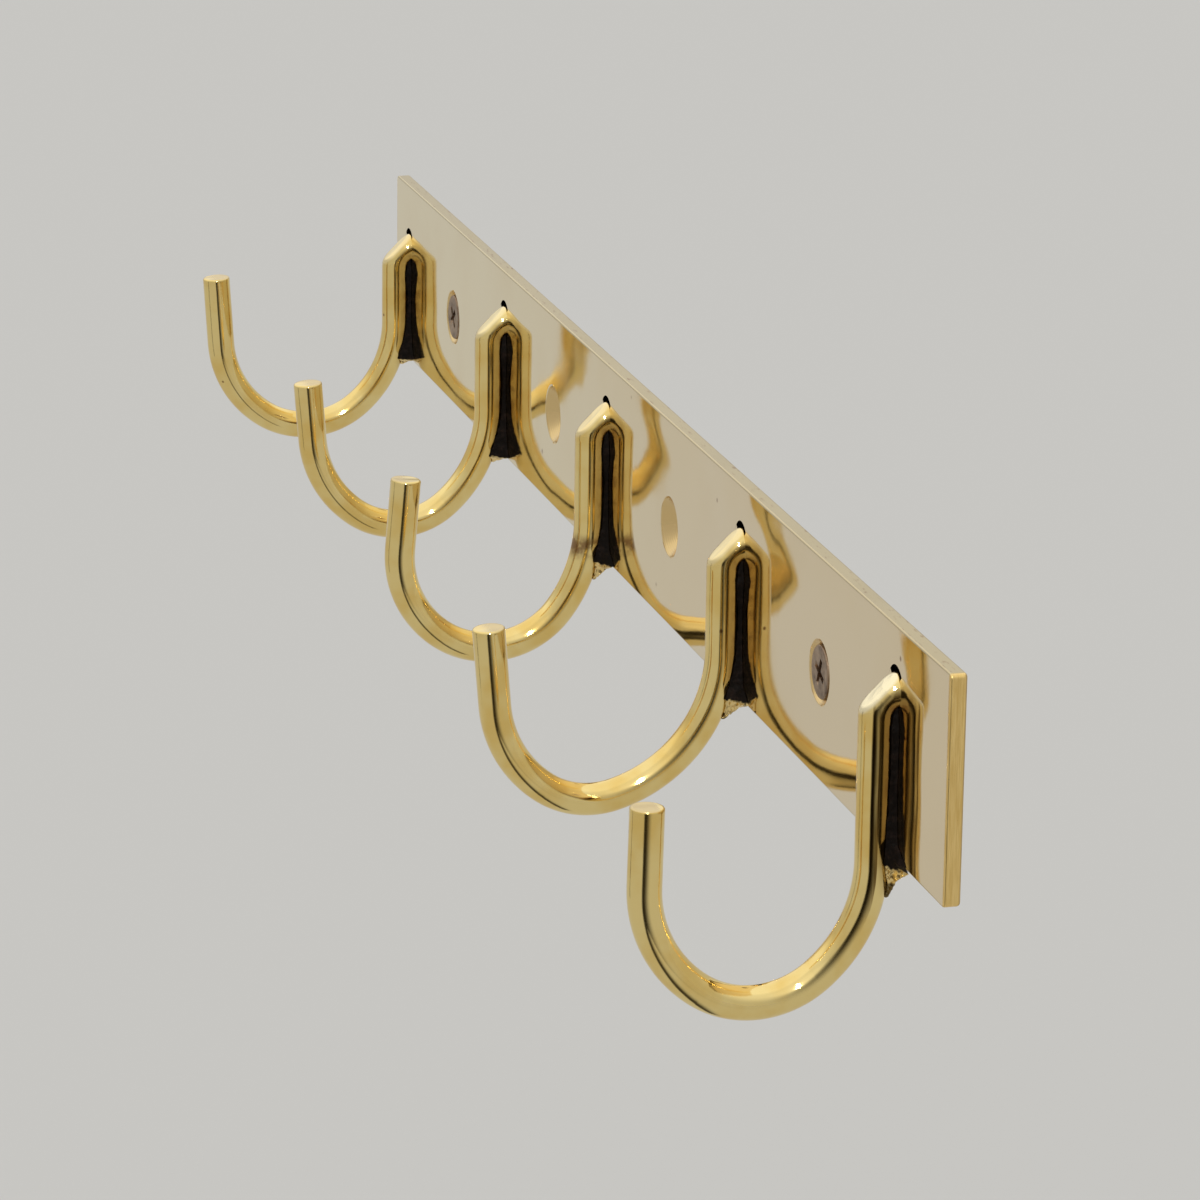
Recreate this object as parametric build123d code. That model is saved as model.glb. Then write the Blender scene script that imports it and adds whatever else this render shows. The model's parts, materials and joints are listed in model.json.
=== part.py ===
"""Wall coat rack: a polished brass bar with five hand-bent rod hooks.

Frame: the origin is the middle of the bar's back face, which lies on the wall.
X runs along the bar, the front faces -Y, and Z is up. All sizes are in millimetres.
Hook 1 is the one at the +X end.
"""
import math
import os

from build123d import *

# Bar
PLATE_LENGTH = 400.0
PLATE_HEIGHT = 40.0
PLATE_THICKNESS = 3.0
PLATE_CORNER_ROUND = 0.9
PLATE_FRONT_ROUND = 0.35
PLATE_BACK_ROUND = 0.6

# Hook rod
ROD_DIAMETER = 6.0
BRAZE_GAP = 0.3
BEND_RADIUS = 4.5
BEND_MIDDLE_TURN = 225.0
RISE_START_TURN = 125.0
TIP_RIM_ROUND = 0.45
FACET_DEPTH = 1.2
FACET_ANGLE = 45.0
FACET_ROUND = 1.8
STUB_BACK_SHORT = 0.25

# Holes that the hooks' bent tops pass through
HOOK_HOLE_DIAMETER = 8.0
STUB_DROP = 0.2

# Each hook was bent and set by hand, so these differ from hook to hook
# A share is of the bar's length, from its middle
HOOK_SHARE = (0.43, 0.20125, -0.035, -0.245, -0.46875)
STUB_Z = (9.1, 9.2, 9.4, 9.6, 6.0)
SWEEP_START_Z = (-20.8, -11.0, -11.6, -9.6, -11.3)
SWEEP_TURN = (51.1, 75.0, 35.9, 49.3, 49.9)
SWEEP_RADIUS = (25.5, 27.1, 30.4, 27.0, 24.6)
J_RADIUS = (17.0, 15.7, 17.5, 15.8, 18.3)
RISE_RADIUS = (22.6, 22.3, 20.2, 22.6, 22.2)
TIP_LEAN = (1.2, -4.9, 4.6, -4.6, -3.7)
TIP_LEG = (14.0, 14.8, 14.3, 12.4, 15.3)
SEAM_WAIST = (2.3, 1.8, 1.7, 1.7, 1.8)
LIP_DROP = (7.6, 4.2, 4.2, 1.6, 1.6)
LIP_SPREAD = (6.2, 5.0, 5.0, 2.6, 2.6)
LIP_SAG = (1.5, 0.0, 0.0, 0.0, 0.0)

# Braze seam between a shank and the bar
SEAM_TOP_GAP = 0.2
SEAM_TOP_HALF_WIDTH = 2.4
SEAM_FOOT_HALF_WIDTH = 2.75
SEAM_SPREAD = 0.5
SEAM_EDGE_MARGIN = 0.45
LIP_RISE = 2.6
LIP_TIP_HALF_WIDTH = 1.4
LIP_TIP_THICKNESS = 0.3
LIP_UNDER = 1.2

# Countersunk screw holes
SCREW_HOLE_SHARE = (0.32425, 0.08175, -0.14, -0.3615)
SCREW_ROW_Z = -0.6
SCREW_HOLE_DIAMETER = 6.6
COUNTERSINK_DIAMETER = 11.8
COUNTERSINK_RIM_ROUND = 0.7

# Wall screws, fitted in the outer holes only
SCREW_FITTED = (True, False, False, True)
SCREW_HEAD_DIAMETER = 9.7
SCREW_HEAD_LAND = 1.05
SCREW_HEAD_ROUND = 0.4
SCREW_SHANK_DIAMETER = 5.0
SCREW_REACH = 17.0
SCREW_POINT_LENGTH = 6.0
SCREW_POINT_DIAMETER = 0.8
RECESS_SPAN = 5.2
RECESS_WING_WIDTH = 1.25
RECESS_DEPTH = 2.1
RECESS_FLOOR_SHARE = 0.5
RECESS_TURN = (24.0, 52.0)

# Values that follow from the ones above
ROD_RADIUS = ROD_DIAMETER / 2
SHANK_Y = -(PLATE_THICKNESS + BRAZE_GAP + ROD_RADIUS)
BEND_CENTRE_Y = SHANK_Y + BEND_RADIUS
HALF_HEIGHT = PLATE_HEIGHT / 2
HOOK_X = tuple(PLATE_LENGTH * share for share in HOOK_SHARE)
SCREW_HOLE_X = tuple(PLATE_LENGTH * share for share in SCREW_HOLE_SHARE)
SCREW_X = tuple(x for x, fitted in zip(SCREW_HOLE_X, SCREW_FITTED) if fitted)


def through_cylinder(x, z, diameter):
    """A cylinder along Y that passes right through the bar at (x, z)."""
    tool = Cylinder(diameter / 2, PLATE_THICKNESS * 4)
    return Pos(x, -PLATE_THICKNESS / 2, z) * Rot(90, 0, 0) * tool


def countersink_tool(x, z):
    """The 90 degree cone of one countersink, its wide end on the bar's front face."""
    depth = (COUNTERSINK_DIAMETER - SCREW_HOLE_DIAMETER) / 2
    wide = COUNTERSINK_DIAMETER / 2
    cone = Cone(wide, SCREW_HOLE_DIAMETER / 2, depth)
    return Pos(x, -PLATE_THICKNESS + depth / 2, z) * Rot(-90, 0, 0) * cone


def plain_bar():
    """The flat bar with its rounded edges, before it is drilled."""
    bar = Pos(0, -PLATE_THICKNESS / 2, 0) * Box(PLATE_LENGTH, PLATE_THICKNESS, PLATE_HEIGHT)
    bar = fillet(bar.edges().filter_by(Axis.Y), PLATE_CORNER_ROUND)
    bar = fillet(bar.faces().sort_by(Axis.Y)[0].outer_wire().edges(), PLATE_FRONT_ROUND)
    return fillet(bar.faces().sort_by(Axis.Y)[-1].outer_wire().edges(), PLATE_BACK_ROUND)


def make_plate():
    """The bar with its hook holes and countersunk screw holes."""
    bar = plain_bar()
    for x, z in zip(HOOK_X, STUB_Z):
        bar -= through_cylinder(x, z + STUB_DROP, HOOK_HOLE_DIAMETER)
    for x in SCREW_HOLE_X:
        bar -= through_cylinder(x, SCREW_ROW_Z, SCREW_HOLE_DIAMETER)
        bar -= countersink_tool(x, SCREW_ROW_Z)
    rims = [
        e for e in bar.edges().filter_by(GeomType.CIRCLE)
        if abs(e.radius - COUNTERSINK_DIAMETER / 2) < 1e-3
    ]
    return fillet(rims, COUNTERSINK_RIM_ROUND)


def on_circle(centre, radius, turn):
    """A (y, z) point on a bend: turn 0 is its wall side, growing downwards and outwards."""
    a = math.radians(turn)
    return centre[0] + radius * math.cos(a), centre[1] - radius * math.sin(a)


def hook_path(i):
    """Hook i's centre line: stub, right-angle bend, shank, sweep, J, rise and tip leg."""
    x = HOOK_X[i]

    def at(p):
        return Vector(x, p[0], p[1])

    bend_c = (BEND_CENTRE_Y, STUB_Z[i] - BEND_RADIUS)
    sweep_r, j_r, rise_r = SWEEP_RADIUS[i], J_RADIUS[i], RISE_RADIUS[i]
    sweep_c = (SHANK_Y - sweep_r, SWEEP_START_Z[i])
    turn = SWEEP_TURN[i]
    j_c = on_circle(sweep_c, sweep_r - j_r, turn)
    rise_c = on_circle(j_c, j_r - rise_r, RISE_START_TURN)
    end_turn = 180.0 + TIP_LEAN[i]
    lean = math.radians(TIP_LEAN[i])

    stub_end = (-STUB_BACK_SHORT, STUB_Z[i])
    bend_in = (BEND_CENTRE_Y, STUB_Z[i])
    bend_mid = on_circle(bend_c, BEND_RADIUS, BEND_MIDDLE_TURN)
    shank_top = (SHANK_Y, STUB_Z[i] - BEND_RADIUS)
    shank_foot = (SHANK_Y, SWEEP_START_Z[i])
    sweep_mid = on_circle(sweep_c, sweep_r, turn / 2)
    j_start = on_circle(j_c, j_r, turn)
    j_mid = on_circle(j_c, j_r, (turn + RISE_START_TURN) / 2)
    j_end = on_circle(j_c, j_r, RISE_START_TURN)
    rise_mid = on_circle(rise_c, rise_r, (RISE_START_TURN + end_turn) / 2)
    leg_foot = on_circle(rise_c, rise_r, end_turn)
    tip = (leg_foot[0] + TIP_LEG[i] * math.sin(lean), leg_foot[1] + TIP_LEG[i] * math.cos(lean))

    return Wire([
        Line(at(stub_end), at(bend_in)),
        ThreePointArc(at(bend_in), at(bend_mid), at(shank_top)),
        Line(at(shank_top), at(shank_foot)),
        ThreePointArc(at(shank_foot), at(sweep_mid), at(j_start)),
        ThreePointArc(at(j_start), at(j_mid), at(j_end)),
        ThreePointArc(at(j_end), at(rise_mid), at(leg_foot)),
        Line(at(leg_foot), at(tip)),
    ])


def plain_rod(i):
    """Hook i's rod with its ends left square."""
    path = hook_path(i)
    section = Plane(origin=path @ 0, z_dir=path % 0) * Circle(ROD_RADIUS)
    return sweep(section, path=path)


def make_hook(i):
    """Hook i: the bent rod, its tip's rim rounded and its top bend filed to a flat."""
    rod = plain_rod(i)
    ends = rod.faces().filter_by(GeomType.PLANE).sort_by(Axis.Y)
    rod = fillet(ends[0].outer_wire().edges(), TIP_RIM_ROUND)
    bend = Vector(HOOK_X[i], BEND_CENTRE_Y, STUB_Z[i] - BEND_RADIUS)
    a = math.radians(FACET_ANGLE)
    out = Vector(0, -math.cos(a), math.sin(a))
    cut_at = bend + out * (BEND_RADIUS + ROD_RADIUS - FACET_DEPTH)
    block = Plane(origin=cut_at, z_dir=out) * Pos(0, 0, ROD_RADIUS) * Box(
        ROD_DIAMETER * 2, ROD_DIAMETER * 2, ROD_DIAMETER
    )
    filed = rod - block
    flats = filed.faces().filter_by(GeomType.PLANE).sort_by(lambda f: (f.center() - cut_at).length)
    return fillet(flats[0].outer_wire().edges(), FACET_ROUND)


def rod_side_y(i, z, reach):
    """How far out hook i's rod is at a height, on a line reach to the wall side of its middle."""
    below = max(0.0, SWEEP_START_Z[i] - z)
    radius = SWEEP_RADIUS[i]
    return SHANK_Y - radius + math.sqrt((radius + reach) ** 2 - below**2)


def seam_section(i, z, half_width, spread, base_y):
    """One level of a seam: wide at its back, narrowing to where it wets the rod."""
    rod_y = rod_side_y(i, z, 0.0)
    wet_y = rod_side_y(i, z, math.sqrt(ROD_RADIUS**2 - half_width**2))
    mid_y = (wet_y + base_y) / 2
    mid_x = half_width + spread * 0.3
    base_x = half_width + spread
    points = [
        (base_x, base_y), (mid_x, mid_y), (half_width, wet_y), (half_width / 2, rod_y),
        (-half_width / 2, rod_y), (-half_width, wet_y), (-mid_x, mid_y), (-base_x, base_y),
    ]
    return Face(Wire.make_polygon([Vector(HOOK_X[i] + px, py, z) for px, py in points], close=True))


def make_seam(i):
    """Hook i's braze: filler in the crevice, a bulb at its top and a lip under the bar's edge."""
    face_y = -PLATE_THICKNESS
    hole_bottom = STUB_Z[i] + STUB_DROP - HOOK_HOLE_DIAMETER / 2
    top = hole_bottom - SEAM_TOP_GAP
    foot = -HALF_HEIGHT + SEAM_EDGE_MARGIN
    lip = foot + LIP_RISE
    run = top - lip
    waist = SEAM_WAIST[i]
    wide = SEAM_FOOT_HALF_WIDTH
    levels = [
        (top, SEAM_TOP_HALF_WIDTH * 0.75, SEAM_SPREAD * 0.4, face_y),
        (top - run * 0.12, SEAM_TOP_HALF_WIDTH, SEAM_SPREAD, face_y),
        (top - run * 0.42, waist, SEAM_SPREAD, face_y),
        (top - run * 0.75, (waist + wide) / 2, SEAM_SPREAD, face_y),
        (lip, wide, SEAM_SPREAD * 2, face_y),
        (foot, wide, LIP_SPREAD[i], face_y),
    ]
    tip_z = foot - LIP_DROP[i]
    hang = foot
    if LIP_SAG[i] > 0:
        hang = -HALF_HEIGHT - LIP_SAG[i]
        levels.append((hang, wide, LIP_SPREAD[i] * 0.6, face_y + LIP_UNDER))
    for share in (0.35, 1.0):
        z = hang + (tip_z - hang) * share
        thin = rod_side_y(i, z, ROD_RADIUS) + LIP_TIP_THICKNESS
        base_y = face_y + (thin - face_y) * share
        half_width = wide + (LIP_TIP_HALF_WIDTH - wide) * share
        levels.append((z, half_width, LIP_SPREAD[i] * 0.4 * (1.0 - share) + 0.1, base_y))
    body = loft([seam_section(i, *level) for level in levels], ruled=True)
    return body - plain_rod(i) - plain_bar()


def make_screw(n):
    """Wall screw n: countersunk head with a cross recess, plain shank and point."""
    head_r = SCREW_HEAD_DIAMETER / 2
    shank_r = SCREW_SHANK_DIAMETER / 2
    sink = (COUNTERSINK_DIAMETER - SCREW_HEAD_DIAMETER) / 2
    seat_y = -PLATE_THICKNESS + sink
    top_y = seat_y - SCREW_HEAD_LAND
    neck_y = seat_y + head_r - shank_r
    outline = [
        (0, top_y), (head_r, top_y), (head_r, seat_y), (shank_r, neck_y),
        (shank_r, SCREW_REACH - SCREW_POINT_LENGTH), (SCREW_POINT_DIAMETER / 2, SCREW_REACH),
        (0, SCREW_REACH),
    ]
    profile = Face(Wire.make_polygon([Vector(r, y, 0) for r, y in outline], close=True))
    body = revolve(profile, axis=Axis.Y, revolution_arc=360)
    rims = body.edges().filter_by(GeomType.CIRCLE).sort_by(Axis.Y)
    body = fillet(rims[0], SCREW_HEAD_ROUND)
    wing = loft([
        Plane.XY * Rectangle(RECESS_SPAN, RECESS_WING_WIDTH),
        Plane.XY.offset(RECESS_DEPTH) * Rectangle(
            RECESS_SPAN * RECESS_FLOOR_SHARE, RECESS_WING_WIDTH * 0.8
        ),
    ])
    recess = wing + Rot(0, 0, 90) * wing
    body -= Pos(0, top_y, 0) * Rot(-90, 0, 0) * Rot(0, 0, RECESS_TURN[n]) * recess
    return Pos(SCREW_X[n], 0, SCREW_ROW_Z) * body


def main():
    """Build every piece and write one file for each."""
    os.makedirs("parts", exist_ok=True)
    pieces = {"back_plate": make_plate()}
    for i in range(len(HOOK_X)):
        pieces[f"hook_{i + 1}"] = make_hook(i)
        pieces[f"braze_seam_{i + 1}"] = make_seam(i)
    for n in range(len(SCREW_X)):
        pieces[f"wall_screw_{n + 1}"] = make_screw(n)
    for name, piece in pieces.items():
        export_step(piece, os.path.join("parts", f"{name}.step"))
        box = piece.bounding_box()
        print(name, f"{piece.volume:.1f} mm3", f"{tuple(round(v, 2) for v in box.size)}")


main()
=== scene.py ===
"""Looks of a wall coat rack: a polished brass bar, five brazed rod hooks and two steel screws.

Everything is in metres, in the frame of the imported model: X along the bar, front to -Y, Z up.
In the finishes a band holds the two values between which an effect comes in.
"""
import json
import logging
import math
from dataclasses import dataclass
from enum import Enum
from typing import Optional, Union

import bmesh
import bpy
from mathutils import Matrix, Vector, noise


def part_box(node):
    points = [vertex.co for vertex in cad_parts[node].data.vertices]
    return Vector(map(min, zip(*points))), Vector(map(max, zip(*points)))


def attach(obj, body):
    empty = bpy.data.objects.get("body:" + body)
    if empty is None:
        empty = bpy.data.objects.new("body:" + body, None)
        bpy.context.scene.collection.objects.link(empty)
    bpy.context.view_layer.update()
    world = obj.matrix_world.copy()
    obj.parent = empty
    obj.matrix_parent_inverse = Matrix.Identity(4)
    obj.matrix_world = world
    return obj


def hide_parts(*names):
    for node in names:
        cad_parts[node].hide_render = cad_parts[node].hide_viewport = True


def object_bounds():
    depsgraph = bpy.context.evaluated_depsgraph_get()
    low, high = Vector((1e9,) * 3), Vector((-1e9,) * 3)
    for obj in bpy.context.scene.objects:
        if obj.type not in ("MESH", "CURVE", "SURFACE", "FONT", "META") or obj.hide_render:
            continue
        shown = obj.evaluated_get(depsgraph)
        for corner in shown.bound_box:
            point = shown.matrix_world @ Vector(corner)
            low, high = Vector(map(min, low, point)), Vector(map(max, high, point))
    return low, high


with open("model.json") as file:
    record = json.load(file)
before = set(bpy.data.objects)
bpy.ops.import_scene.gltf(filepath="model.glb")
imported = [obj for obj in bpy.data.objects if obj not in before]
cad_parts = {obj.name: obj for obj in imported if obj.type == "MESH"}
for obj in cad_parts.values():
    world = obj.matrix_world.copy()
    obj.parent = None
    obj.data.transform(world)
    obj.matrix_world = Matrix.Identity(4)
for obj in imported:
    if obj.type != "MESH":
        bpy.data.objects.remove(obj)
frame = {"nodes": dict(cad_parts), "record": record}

CAD_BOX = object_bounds()
LOG = logging.getLogger("coat_rack")
MM = 0.001
BODY = "root"

Colour = tuple[float, float, float]
Triple = tuple[float, float, float]
Pair = tuple[float, float]


class Sock:
    """An output socket whose arithmetic adds Math nodes to its tree."""

    def __init__(self, tree: "Tree", socket: bpy.types.NodeSocket) -> None:
        """Wrap one socket of a tree."""
        self.tree = tree
        self.socket = socket

    def __add__(self, other: "Scalar") -> "Sock":
        """Sum."""
        return self.tree.math("ADD", self, other)

    def __radd__(self, other: float) -> "Sock":
        """Sum with a number on the left."""
        return self.tree.math("ADD", other, self)

    def __sub__(self, other: "Scalar") -> "Sock":
        """Difference."""
        return self.tree.math("SUBTRACT", self, other)

    def __rsub__(self, other: float) -> "Sock":
        """Difference from a number on the left."""
        return self.tree.math("SUBTRACT", other, self)

    def __mul__(self, other: "Scalar") -> "Sock":
        """Product."""
        return self.tree.math("MULTIPLY", self, other)

    def __rmul__(self, other: float) -> "Sock":
        """Product with a number on the left."""
        return self.tree.math("MULTIPLY", other, self)

    def __truediv__(self, other: "Scalar") -> "Sock":
        """Quotient."""
        return self.tree.math("DIVIDE", self, other)

    def __pow__(self, other: "Scalar") -> "Sock":
        """Power."""
        return self.tree.math("POWER", self, other)

    def __abs__(self) -> "Sock":
        """Size without sign."""
        return self.tree.math("ABSOLUTE", self)


Scalar = Union[Sock, float]
Anything = Union[Sock, float, Triple]


@dataclass(frozen=True)
class Grain:
    """A noise pattern: its repeats per metre, evenly or along each axis, detail and roughness."""

    scale: float = 1.0
    along: Optional[Triple] = None
    detail: float = 2.0
    rough: float = 0.5


class Tree:
    """Builds the nodes of one material or world."""

    def __init__(self, owner: Union[bpy.types.Material, bpy.types.World]) -> None:
        """Empty the owner's node tree and keep it."""
        owner.use_nodes = True
        self.nodes = owner.node_tree.nodes
        self.links = owner.node_tree.links
        self.nodes.clear()

    def node(self, kind: str, settings: Optional[dict] = None,
             inputs: Optional[dict] = None, out: Union[str, int] = 0) -> Sock:
        """Add any node.

        Args:
            kind: The node's type, without its ShaderNode prefix.
            settings: Properties set before the sockets.
            inputs: Values or links, by socket name or number.
            out: Name or number of the output that is returned.

        Returns:
            The chosen output.
        """
        made = self.nodes.new("ShaderNode" + kind)
        for key, value in (settings or {}).items():
            setattr(made, key, value)
        for key, value in (inputs or {}).items():
            self.put(made.inputs[key], value)
        return Sock(self, made.outputs[out]) if made.outputs else Sock(self, made.inputs[0])

    def put(self, socket: bpy.types.NodeSocket, value: Anything) -> None:
        """Link or set one input socket.

        Args:
            socket: The input.
            value: What it is linked to or set to; a colour is made opaque.
        """
        if isinstance(value, Sock):
            self.links.new(value.socket, socket)
        elif isinstance(value, tuple) and socket.type == "RGBA":
            socket.default_value = (*value, 1.0)
        else:
            socket.default_value = value

    def math(self, operation: str, a: Scalar, b: Scalar = 0.0) -> Sock:
        """Add a Math node on values."""
        return self.node("Math", {"operation": operation}, {0: a, 1: b})

    def most(self, values: list[Sock]) -> Sock:
        """The greatest of some values.

        Args:
            values: One value or more.

        Returns:
            The greatest.
        """
        best = values[0]
        for value in values[1:]:
            best = self.math("MAXIMUM", best, value)
        return best

    def step(self, value: Sock, low: float, high: float) -> Sock:
        """Smooth step.

        Args:
            value: What is tested.
            low: Where the step is 0.
            high: Where it is 1; this may be the smaller.

        Returns:
            The step.
        """
        if low > high:
            return 1.0 - self.step(value, high, low)
        settings = {"interpolation_type": "SMOOTHSTEP"}
        return self.node("MapRange", settings, {"Value": value, "From Min": low, "From Max": high})

    def past(self, value: Sock, edge: float, band: Pair) -> Sock:
        """Smooth step over a band measured upwards from an edge."""
        return self.step(value, edge + band[0], edge + band[1])

    def under(self, value: Sock, edge: float, band: Pair) -> Sock:
        """Smooth step over a band measured downwards from an edge."""
        return self.step(value, edge - band[0], edge - band[1])

    def vector(self, operation: str, a: Anything, b: Anything = (0.0, 0.0, 0.0)) -> Sock:
        """Add a Vector Math node."""
        out = "Value" if operation == "DOT_PRODUCT" else "Vector"
        return self.node("VectorMath", {"operation": operation}, {0: a, 1: b}, out)

    def mix(self, share: Scalar, a: Anything, b: Anything, blend: str = "MIX") -> Sock:
        """Mix two colours."""
        settings = {"data_type": "RGBA", "blend_type": blend, "clamp_factor": True}
        return self.node("Mix", settings, {"Factor": share, 6: a, 7: b}, 2)

    def noise(self, place: Sock, grain: Grain) -> Sock:
        """Lay a noise pattern over a surface.

        Args:
            place: Position on the piece.
            grain: The pattern.

        Returns:
            Its value, from 0 to 1.
        """
        if grain.along is not None:
            place = self.vector("MULTIPLY", place, grain.along)
        inputs = {"Vector": place, "Scale": grain.scale, "Detail": grain.detail, "Roughness": grain.rough}
        return self.node("TexNoise", None, inputs, "Fac")

    def cells(self, place: Sock, scale: float) -> Sock:
        """Distance from the middles of scattered cells."""
        return self.node("TexVoronoi", None, {"Vector": place, "Scale": scale}, "Distance")

    def split(self, place: Sock) -> tuple[Sock, Sock, Sock]:
        """Part a position.

        Args:
            place: A position or direction.

        Returns:
            Its X, Y and Z.
        """
        first = self.node("SeparateXYZ", None, {0: place}, "X")
        outputs = first.socket.node.outputs
        return first, Sock(self, outputs["Y"]), Sock(self, outputs["Z"])

    def bump(self, height: Scalar, depth: float, normal: Optional[Sock] = None) -> Sock:
        """Turn a height from 0 to 1 into a normal.

        Args:
            height: The height over the surface.
            depth: Real depth of a height of 1, in metres.
            normal: A normal that this one adds to.

        Returns:
            The normal.
        """
        inputs = {"Height": height, "Distance": depth, "Strength": 1.0}
        if normal is not None:
            inputs["Normal"] = normal
        return self.node("Bump", None, inputs)


class Surface(Tree):
    """The nodes of one material, with the position on its piece at hand."""

    def __init__(self, name: str) -> None:
        """Start a material.

        Args:
            name: The material's name.
        """
        self.material = bpy.data.materials.new(name)
        super().__init__(self.material)
        self.p = self.node("TexCoord", None, None, "Object")
        self.x, self.y, self.z = self.split(self.p)

    def reach(self, centre: Vector) -> Sock:
        """Distance from an axis along Y through a point."""
        return self.math("SQRT", (self.x - centre.x) ** 2.0 + (self.z - centre.z) ** 2.0)

    def finish(self, inputs: dict) -> bpy.types.Material:
        """Close the material with one principled shader.

        Args:
            inputs: The shader's values and links, by socket name.

        Returns:
            The material.
        """
        shader = self.node("BsdfPrincipled", None, inputs)
        self.node("OutputMaterial", None, {"Surface": shader})
        return self.material


@dataclass(frozen=True)
class BarBrass:
    """Mirror polish on the bar's front, satin on its cut edges, dull on its back."""

    name: str = "bar_polished_brass"
    front: Colour = (0.835, 0.69, 0.455)
    front_far_painted_light: Colour = (0.89, 0.78, 0.52)
    front_deep: Colour = (0.80, 0.65, 0.40)
    edge: Colour = (0.74, 0.50, 0.165)
    edge_light: Colour = (0.90, 0.66, 0.27)
    rim: Colour = (0.47, 0.39, 0.228)
    back: Colour = (0.46, 0.31, 0.13)
    back_light: Colour = (0.60, 0.43, 0.19)
    cone: Colour = (0.66, 0.455, 0.18)
    stain: Colour = (0.24, 0.12, 0.05)
    hole_shade_tone: Colour = (0.02, 0.016, 0.012)

    cloud: Grain = Grain(55.0, detail=3.0)
    scratch: Grain = Grain(along=(900.0, 900.0, 5200.0), detail=3.0)
    grit: Grain = Grain(5200.0, rough=0.7)
    mottle: Grain = Grain(160.0, detail=4.0, rough=0.6)
    brush: Grain = Grain(along=(200.0, 3200.0, 150.0), detail=3.0, rough=0.6)
    smear: Grain = Grain(along=(260.0, 900.0, 900.0), detail=4.0, rough=0.7)
    slow: Grain = Grain(along=(26.0, 26.0, 40.0), detail=1.0)
    ripple: Grain = Grain(along=(85.0, 85.0, 120.0), detail=0.0)
    spot_scale: float = 62.0

    end_band: Pair = (0.9 * MM, 0.25 * MM)
    rim_band: Pair = (0.12 * MM, 0.04 * MM)
    rim_depth: Pair = (0.22 * MM, 0.34 * MM)
    corner_band: Pair = (0.5 * MM, 0.2 * MM)
    back_band: Pair = (0.5 * MM, 0.2 * MM)
    far_light_band: Pair = (0.13, -0.17)
    hook_hole: Pair = (4.35 * MM, 4.2 * MM)
    hook_hole_depth: Pair = (0.03 * MM, 0.15 * MM)
    countersink: Pair = (6.4 * MM, 6.2 * MM)
    countersink_depth: Pair = (0.02 * MM, 0.12 * MM)
    mark_reach: Pair = (0.6 * MM, 0.3 * MM)
    heat_reach: Pair = (7.0 * MM, 2.6 * MM)
    heat_foot: Pair = (2.0 * MM, -16.0 * MM)
    warp_reach: Pair = (24.0 * MM, 8.0 * MM)
    bow_far: Pair = (76.0 * MM, 60.0 * MM)
    bow_near: Pair = (-20.0 * MM, -2.0 * MM)
    bow_upper: Pair = (10.5 * MM, 19.0 * MM)
    ring_pitch: float = 0.32 * MM

    cloud_band: Pair = (0.4, 0.8)
    haze_band: Pair = (0.45, 0.8)
    scratch_band: Pair = (0.35, 0.7)
    brush_band: Pair = (0.3, 0.72)
    mottle_band: Pair = (0.3, 0.7)
    heat_band: Pair = (0.42, 0.62)
    nick_band: Pair = (0.58, 0.66)
    spot_band: Pair = (0.045, 0.02)
    cloud_share: float = 0.35
    scratch_share: float = 0.12
    corner_shade_share: float = 0.7
    nick_share: float = 0.7
    heat_share: float = 0.4125
    spot_share: float = 0.8
    cone_share: float = 0.8

    front_roughness: float = 0.035
    haze_roughness: float = 0.05
    edge_roughness: float = 0.30
    edge_least: float = 0.7
    edge_grit: float = 0.6
    corner_roughness: float = 0.22
    back_roughness: float = 0.42
    cone_roughness: float = 0.24

    slow_depth: float = 0.13 * MM
    ripple_depth: float = 0.075 * MM
    ripple_least: float = 0.25
    scratch_depth: float = 0.0011 * MM
    grit_depth: float = 0.012 * MM
    brush_depth: float = 0.02 * MM
    ring_depth: float = 0.012 * MM

    def material(self, plate: "BackPlate") -> bpy.types.Material:
        """Make the finish for a bar.

        Args:
            plate: The bar, for the places of its edges, hooks and holes.

        Returns:
            The material.
        """
        s = Surface(self.name)
        low, high = plate.low, plate.high
        ends = s.under(abs(s.x - plate.middle.x), high.x - plate.middle.x, self.end_band)
        rims = s.under(abs(s.z), high.z, self.rim_band) * s.past(s.y, low.y, self.rim_depth)
        corner = s.under(abs(s.z), high.z, self.corner_band) * s.past(s.y, low.y, self.corner_band)
        edges = s.most([ends, rims])
        behind = s.under(s.y, high.y, self.back_band)
        cones = self._cones(s, plate)
        cloud = s.noise(s.p, self.cloud)
        scratch = s.noise(s.p, self.scratch)
        grit = s.noise(s.p, self.grit)
        mottle = s.noise(s.p, self.mottle)
        brush = s.noise(s.p, self.brush)

        # Painted light: the front is painted paler towards the far end, -X.
        tone = s.mix(s.step(s.x, *self.far_light_band), self.front, self.front_far_painted_light)
        tone = s.mix(s.step(cloud, *self.cloud_band) * self.cloud_share, tone, self.front_deep)
        tone = s.mix(s.step(scratch, *self.scratch_band) * self.scratch_share, tone, self.front_deep)
        # Painted shade: the front fillet along the top and bottom is painted towards the rims' dull tone,
        # which dims its highlight.
        tone = s.mix(corner * self.corner_shade_share, tone, self.rim)
        tone = s.mix(rims, tone, self.rim)
        tone = s.mix(rims * self._nicks(s), tone, self.stain)
        tone = s.mix(ends, tone, s.mix(s.step(brush, *self.brush_band), self.edge, self.edge_light))
        tone = s.mix(behind, tone, s.mix(s.step(mottle, *self.mottle_band), self.back, self.back_light))
        tone = s.mix(self._heat(s, mottle, plate), tone, self.stain)
        tone = s.mix(self._spots(s), tone, self.stain)
        mark = s.step(s.reach(plate.spot), *self.mark_reach)
        tone = s.mix(mark * self.spot_share, tone, self.stain)
        # Painted shade: the walls of the hook holes are painted near black.
        tone = s.mix(self._hole_shade(s, plate), tone, self.hole_shade_tone)
        tone = s.mix(cones * self.cone_share, tone, self.cone)

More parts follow.
